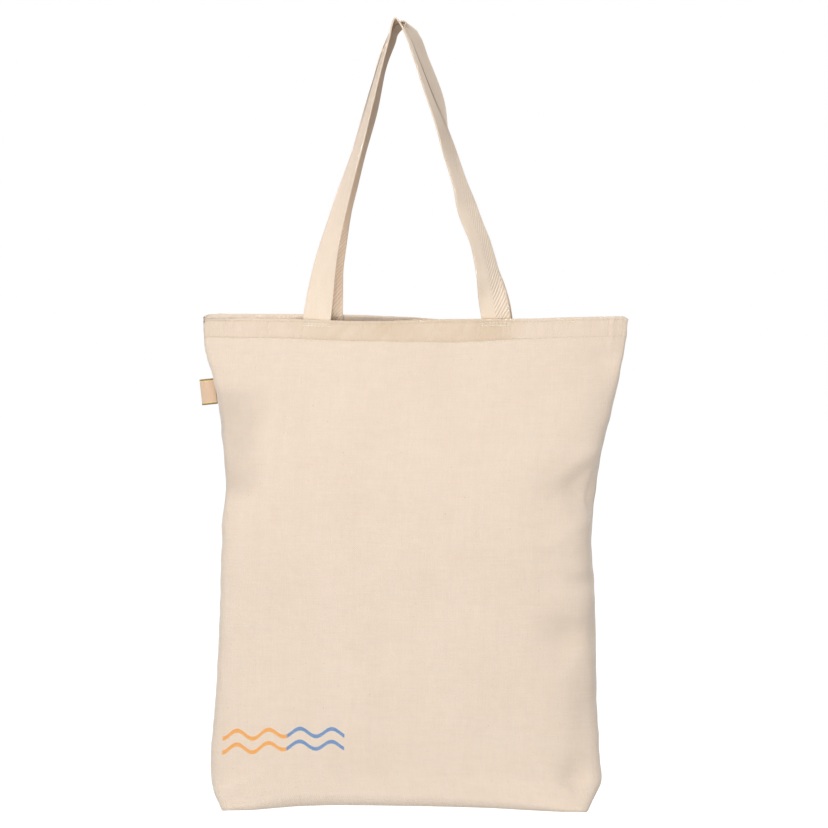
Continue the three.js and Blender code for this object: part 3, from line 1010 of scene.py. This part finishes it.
def speckled(tree, cut, colour, cell, size, keep, share):
    """The colour with sparse specks of seed in it."""
    inputs = {"Vector": cut, "Scale": 1 / cell}
    spots = add_node(tree, "ShaderNodeTexVoronoi", inputs, voronoi_dimensions="2D")
    pick = add_node(tree, "ShaderNodeSeparateColor", {"Color": spots.outputs["Color"]})
    radius = times(tree, pick.outputs["Green"], size / cell)
    inside = calc(tree, "LESS_THAN", spots.outputs["Distance"], radius)
    kept = calc(tree, "LESS_THAN", pick.outputs["Red"], keep)
    specks = times(tree, inside, kept)
    return mix_colour(tree, times(tree, specks, share), colour, FLECK_COLOUR)


def fade_out(tree, value, full, none):
    """One where the value is at full, and smoothly down to nothing where it is at none."""
    ends = {"Value": value, "From Min": full, "From Max": none, "To Min": 1.0, "To Max": 0.0}
    return add_node(tree, "ShaderNodeMapRange", ends, interpolation_type="SMOOTHSTEP").outputs[0]


def hem_painted_shade(tree, across, along):
    """How much painted shade darkens the hem's doubled cloth, from 0 to 1: in slanting streaks of pucker
    shade and in shadow lines along stitches.
    """
    depth = calc(tree, "SUBTRACT", along, HEM_TURN * MM)
    outside = calc(tree, "GREATER_THAN", depth, 0.0)
    waver = calc(tree, "SUBTRACT", stretched_noise(tree, across, depth, wide=0.014, tall=0.1), 0.5)
    level = times_plus(tree, waver, HEM_SHADE["waver"], depth)
    full, none = [(STITCH_LINE + off) * MM for off in HEM_SHADE["foot"]]
    doubled = fade_out(tree, level, full, none)
    place = calc(tree, "DIVIDE", across, PANEL_WIDTH * MM)
    share = ramp(tree, place, [(at, (amount,) * 3) for at, amount in HEM_SHADE_SHARES])
    slanted = times_plus(tree, depth, PUCKERS[0]["slant"], across)
    streak = stretched_noise(tree, slanted, depth, wide=0.007, tall=0.05)
    cloud = stretched_noise(tree, across, depth, wide=0.07, tall=0.05)
    uneven = weighted_sum(tree, HEM_SHADE["middle"], [(streak, 0.7), (cloud, 1.3)])
    tone = times(tree, times(tree, doubled, uneven), share)
    left_part = fade_out(tree, across, *HEM_SHADE["line_end"])
    for line, amount in HEM_SHADOW_LINES:
        off = apart(tree, level, line * MM)
        shadow_line = times(tree, fade_out(tree, off, *HEM_SHADE["line"]), left_part)
        tone = times_plus(tree, shadow_line, amount, tone)
    return times(tree, outside, tone)


def hem_ridges(tree, across, along):
    """Fine upright ridges that the stitching gathers into the hem, on both of its faces."""
    depth = apart(tree, along, HEM_TURN * MM)
    inside = calc(tree, "LESS_THAN", depth, STITCH_LINE * MM)
    ridge = stretched_noise(tree, across, depth, wide=0.0026, tall=0.05, detail=1.0)
    return times(tree, times(tree, ridge, inside), HEM_RIDGE)


def left_seam_shade(tree, across, along):
    """How much painted shade greys the canvas beside the left seam."""
    share = LEFT_SEAM_SHADE["share"]
    for value, limit in ((across, "across"), (along, "top"), (along, "foot")):
        full, none = LEFT_SEAM_SHADE[limit]
        share = times(tree, share, fade_out(tree, value, full * MM, none * MM))
    cloud = stretched_noise(tree, across, along, wide=0.02, tall=0.03)
    return times(tree, share, weighted_sum(tree, 1.0, [(cloud, LEFT_SEAM_SHADE["uneven"])]))


def wave_mask(tree, x, along):
    """Inside of the printed wavy lines, from 0 to 1."""
    phase = times(tree, x, 2 * math.pi / (PRINT["length"] * MM))
    level = times_plus(tree, calc(tree, "SINE", phase), -PRINT["swing"] * MM, along)
    mask = 0.0
    for line in PRINT["lines"]:
        off = apart(tree, level, (HEM_TURN + line) * MM)
        mask = calc(tree, "ADD", mask, calc(tree, "LESS_THAN", off, PRINT["stroke"] / 2 * MM))
    mask = times(tree, mask, calc(tree, "GREATER_THAN", x, PRINT["left"] * MM))
    return times(tree, mask, calc(tree, "LESS_THAN", x, PRINT["right"] * MM))


def printed_lines(tree, colour, across, along, grain, weave):
    """The colour with the two wavy lines printed on it, as unevenly as ink takes on cloth."""
    wander = calc(tree, "SUBTRACT", grain, 0.5)
    cover = times_plus(tree, wander, INK["grain"], INK["cover"])
    cover = times_plus(tree, weave, INK["weave"], cover)
    x = times_plus(tree, wander, INK["wander"], across)
    ink = mix_colour(tree, calc(tree, "GREATER_THAN", x, PRINT["split"] * MM), *INKS)
    return mix_colour(tree, times(tree, wave_mask(tree, x, along), cover), colour, ink)


def canvas_finish(name, printed):
    """Unbleached plain weave with slubs and specks. The printed panel also has its lines and a painted
    shade by the left seam.
    """
    finish, tree, shader = new_finish(name, roughness=0.9, sheen=0.6)
    cut, across, along = cut_place(tree)
    cloth_noise = partial(stretched_noise, tree, across, along)
    warp_slub = cloth_noise(wide=0.0011, tall=0.016)
    weft_slub = cloth_noise(wide=0.016, tall=0.0011)
    grain = cloth_noise(wide=0.0016, tall=0.0016, detail=3.0)
    streak = cloth_noise(wide=0.004, tall=0.16)
    mottle = cloth_noise(wide=0.035, tall=0.05)
    weave = plain_weave(tree, across, along, WEAVE["pitch"])
    parts = [(warp_slub, 0.3), (weft_slub, 0.28), (grain, 0.3), (streak, 0.16), (mottle, 0.25)]
    tone = weighted_sum(tree, CANVAS_TONE, parts)
    # painted shade: the weave's hollows darker than its threads' tops
    tone = times_plus(tree, weave, WEAVE["tone"], tone)
    colour = ramp(tree, tone, list(zip(TONE_ENDS, CANVAS_COLOURS)))
    # painted shade of the doubled hem, with painted shadow lines along its stitches
    colour = mix_colour(tree, hem_painted_shade(tree, across, along), colour, HEM_SHADE_COLOUR)
    colour = speckled(tree, cut, colour, cell=0.013, size=0.0005, keep=0.35, share=0.3)
    if printed:
        # painted shade by the left seam
        colour = mix_colour(tree, left_seam_shade(tree, across, along), colour, LEFT_SEAM_SHADE_COLOUR)
        colour = printed_lines(tree, colour, across, along, grain, weave)
    height = weighted_sum(tree, 0.0, [(warp_slub, 0.9), (weft_slub, 0.9), (grain, 0.7)])
    height = times_plus(tree, weave, WEAVE["height"], height)
    height = calc(tree, "ADD", hem_ridges(tree, across, along), height)
    dress(tree, shader, colour, height, distance=0.00022)
    return finish


def shade_near(tree, along, middle, fade):
    """One near a place along the tape, and smoothly down to nothing away from it."""
    away = apart(tree, along, middle)
    return fade_out(tree, away, fade * SHADE_FULL, fade)


def tape_painted_shade(tree, off, along, face, edge_shade):
    """Painted shade from 0 to 1: near the top of the handle, along the edge in the gap by the other handle,
    and on the rim.
    """
    near_top = shade_near(tree, along, face["top_shade_middle"], face["top_shade_fade"])
    top_shade = times(tree, near_top, face["top_shade"])
    full, none = [(reach - TAPE_WIDTH / 2) * MM for reach in edge_shade["reach"]]
    edge = times(tree, fade_out(tree, off, full, none), edge_shade["edge"])
    edge = times(tree, edge, shade_near(tree, along, **EDGE_SHADE_PLACE))
    at_rim = calc(tree, "GREATER_THAN", calc(tree, "ABSOLUTE", off), (TAPE_WIDTH / 2 - RIM) * MM)
    shading = calc(tree, "MAXIMUM", top_shade, edge)
    return times_plus(tree, at_rim, calc(tree, "SUBTRACT", edge_shade["rim"], shading), shading)


def herringbone(tree, off, along, grain, slope):
    """Two bands of slanting ribs that meet along the middle, and firm knotted edges, from 0 to 1."""
    from_middle = calc(tree, "ABSOLUTE", off)
    wander = times(tree, calc(tree, "SUBTRACT", grain, 0.5), RIBS["wander"])
    climb = times_plus(tree, from_middle, slope, calc(tree, "ADD", along, wander))
    rib = calc(tree, "ABSOLUTE", sine(tree, climb, RIBS["pitch"]))
    edge = calc(tree, "GREATER_THAN", from_middle, (TAPE_WIDTH / 2 - RIBS["edge"]) * MM)
    knots = calc(tree, "ABSOLUTE", sine(tree, along, RIBS["knots"]))
    woven = add_node(tree, "ShaderNodeMix", {0: edge, 2: rib, 3: knots}, data_type="FLOAT").outputs[0]
    spine = calc(tree, "LESS_THAN", from_middle, RIBS["spine"])
    return times_plus(tree, spine, -RIBS["sunk"], woven)


def webbing_finish(name, face_name):
    """One face of one handle's tape, with painted shade: rib shading strong along half of a leg and faint
    elsewhere, darker near the top, in the gap by the other handle, on the rim and at the right end.
    """
    face = TAPE_FACES[face_name]
    title = f"{name} webbing, {face_name}"
    finish, tree, shader = new_finish(title, roughness=0.85, sheen=0.12, translucent=0.03)
    cut, across, along = cut_place(tree)
    cloth_noise = partial(stretched_noise, tree, across, along)
    off = calc(tree, "SUBTRACT", across, TAPE_WIDTH / 2 * MM)
    grain = cloth_noise(wide=0.0009, tall=0.0009, detail=3.0)
    yarn = cloth_noise(wide=0.0014, tall=0.02)
    mottle = cloth_noise(wide=0.02, tall=0.06)
    ribs = herringbone(tree, off, along, grain, face["slope"])
    # the ribs' painted shading is strong where light rakes them, along half of the right leg, and faint
    # elsewhere
    lit_ribs = times(tree, calc(tree, "LESS_THAN", off, 0.0), fade_out(tree, along, *LIT_RIBS_FROM))
    lit_ribs = times_plus(tree, lit_ribs, face["lit_ribs"] - face["shading"], face["shading"])
    tone = weighted_sum(tree, TAPE_TONE, [(grain, 0.35), (yarn, 0.35), (mottle, 0.25)])
    # painted shade: the ribs' valleys and sunken spine are darker
    tone = times_plus(tree, calc(tree, "SUBTRACT", ribs, RIBS["middle"]), lit_ribs, tone)
    # painted shade: the right end of the tape is darker
    tone = times_plus(tree, fade_out(tree, along, *DARKER_END_FROM), -face["darker"], tone)
    # each face has its own colours; the inner face's warmer ones are painted shade
    colour = ramp(tree, tone, list(zip(TONE_ENDS, face["colours"])))
    colour = speckled(tree, cut, colour, cell=0.012, size=0.0006, keep=0.3, share=0.25)
    # painted shade: near the top, in the gap by the other handle and on the rim
    colour = mix_colour(tree, tape_painted_shade(tree, off, along, face, EDGE_SHADE[name]), colour, TAPE_SHADE_COLOUR)
    height = times(tree, ribs, times(tree, lit_ribs, RIB_HEIGHT))
    height = times_plus(tree, grain, TAPE_GRAIN, height)
    dress(tree, shader, colour, height, distance=0.00035)
    return finish


def ribbon_finish():
    """Woven ribbon: a pale middle with a gold stripe and a dark line along each edge."""
    finish, tree, shader = new_finish("woven ribbon", roughness=0.55, sheen=0.2)
    _, across, along = cut_place(tree)
    half = TAG["height"] / 2 * MM
    from_middle = apart(tree, along, half)
    grain = stretched_noise(tree, across, along, wide=0.0012, tall=0.0012, detail=3.0)
    share = weighted_sum(tree, calc(tree, "DIVIDE", from_middle, half), [(grain, 0.05)])
    stops = [(0.78, "middle"), (0.81, "gold"), (0.87, "gold"), (0.895, "line")]
    colour = ramp(tree, share, [(at, RIBBON_COLOURS[stripe]) for at, stripe in stops])
    weave = plain_weave(tree, across, along, pitch=0.0006)
    dress(tree, shader, colour, calc(tree, "ADD", weave, grain), distance=0.00008)
    return finish


def thread_finish(name, middle):
    finish, tree, shader = new_finish(name, roughness=0.7, sheen=0.15)
    place = add_node(tree, "ShaderNodeTexCoord").outputs["Object"]
    inputs = {"Vector": place, "Scale": TWIST["scale"], "Detail": 2.0}
    twist = add_node(tree, "ShaderNodeTexNoise", inputs).outputs[0]
    pale = tuple(min(c * TWIST["pale"], 1) for c in middle)
    darker = tuple(c * TWIST["darker"] for c in middle)
    colour = ramp(tree, twist, [(0.3, darker), (0.7, pale)])
    dress(tree, shader, colour, twist, distance=0.0001)
    return finish


# Room, light and camera

PHOTO_PIXELS = 828
PIXEL = 0.85
SENSOR = 36
TARGET = Vector((15.3, 0, -335)) * MM
CAMERA = dict(distance=2.5, azimuth=5, elevation=3)
FLOOR = dict(z=-1.0, half=12, grey=0.3, glow=0.9)
ROOM = dict(colour=(1, 0.97, 0.94), strength=0.495)

# Where each light stands, what it faces, how wide it is, its power, and the spread of a narrow beam
LIGHTS = table(
    "name place aim size power spread",
    ("key_light", (-0.75, -2.1, 1.15), (0, 0, -0.4), 0.8, 21.5),
    ("top_light", (0.3, -1.0, 2.0), (0, 0, -0.35), 1.0, 8),
    ("low_light", (0.0, -2.6, -0.95), (0, 0, -0.45), 1.0, 27),
    ("floor_light", (0.0, -1.3, -0.97), (0, 0, -0.6), 0.8, 4.2),
    ("back_light", (0.9, 2.2, 0.9), (0, 0, -0.4), 1.2, 36),
    ("left_handle_light", (-1.6, -0.6, 0.1), (-0.03, 0, -0.1), 0.12, 0.018, 10),
    ("right_handle_light", (1.6, -0.6, 0.1), (0.05, 0, -0.14), 0.12, 0.008, 10),
)


def pale_floor():
    bm = bmesh.new()
    bmesh.ops.create_grid(bm, x_segments=2, y_segments=2, size=FLOOR["half"])
    bmesh.ops.translate(bm, vec=(0, 0, FLOOR["z"]), verts=bm.verts)
    mesh = mesh_of(bm, "pale_floor")
    floor = add_object("pale_floor", mesh)
    paint = bpy.data.materials.new("pale floor")
    paint.use_nodes = True
    shader = paint.node_tree.nodes["Principled BSDF"]
    shader.inputs["Base Color"].default_value = (*[FLOOR["grey"]] * 3, 1)
    shader.inputs["Roughness"].default_value = 1.0
    shader.inputs["Emission Color"].default_value = (1, 1, 1, 1)
    shader.inputs["Emission Strength"].default_value = FLOOR["glow"]
    mesh.materials.append(paint)
    floor.visible_diffuse = False
    floor.visible_glossy = False


def pale_room():
    """Warm, even light all round that the camera sees as white."""
    world = bpy.data.worlds.new("pale room")
    world.use_nodes = True
    tree = world.node_tree
    lit = tree.nodes["Background"]
    lit.inputs["Color"].default_value = with_alpha(ROOM["colour"])
    lit.inputs["Strength"].default_value = ROOM["strength"]
    white = add_node(tree, "ShaderNodeBackground", {"Color": (1, 1, 1, 1), "Strength": 1.0})
    path = add_node(tree, "ShaderNodeLightPath")
    inputs = {0: path.outputs["Is Camera Ray"], 1: lit.outputs[0], 2: white.outputs[0]}
    seen = add_node(tree, "ShaderNodeMixShader", inputs)
    tree.links.new(seen.outputs[0], tree.nodes["World Output"].inputs["Surface"])
    bpy.context.scene.world = world


def studio_light(name, place, aim, size, power, spread=180):
    lamp = bpy.data.lights.new(name, "AREA")
    lamp.shape = "DISK"
    lamp.size = size
    lamp.energy = power
    lamp.spread = math.radians(spread)
    light = add_object(name, lamp)
    light.location = place
    light.rotation_euler = (Vector(aim) - Vector(place)).to_track_quat("-Z", "Y").to_euler()


def photo_camera():
    azimuth, elevation = math.radians(CAMERA["azimuth"]), math.radians(CAMERA["elevation"])
    level = math.cos(elevation)
    back = Vector((math.sin(azimuth) * level, -math.cos(azimuth) * level, math.sin(elevation)))
    lens = bpy.data.cameras.new("photo_camera")
    lens.sensor_width = SENSOR
    lens.lens = SENSOR * CAMERA["distance"] / (PHOTO_PIXELS * PIXEL * MM)
    camera = add_object("photo_camera", lens)
    camera.location = TARGET + back * CAMERA["distance"]
    camera.rotation_euler = (-back).to_track_quat("-Z", "Y").to_euler()
    bpy.context.scene.camera = camera


photo_camera()
pale_floor()
pale_room()
for light in LIGHTS:
    studio_light(**light)
bpy.context.scene.view_settings.view_transform = "Standard"

front_finish = canvas_finish("printed canvas", True)
plain_finish = canvas_finish("plain canvas", False)
hem_thread = thread_finish("hem thread", THREAD_COLOURS["hem"])
handle_thread = thread_finish("handle thread", THREAD_COLOURS["handle"])

panels = {"front": canvas_panel("front", front_finish), "back": canvas_panel("back", plain_finish)}
tapes = {name: webbing_handle(name) for name in SIDES}
stitches = {}
for name in SIDES:
    stitches[name] = [hem_stitches(name, hem_thread), handle_stitches(name, handle_thread)]
side_allowance("left", 1, plain_finish)
side_allowance("right", -1, plain_finish)
bottom_allowance(plain_finish)
ribbon_tag(ribbon_finish())

for name in SIDES:
    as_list(stitches[name])
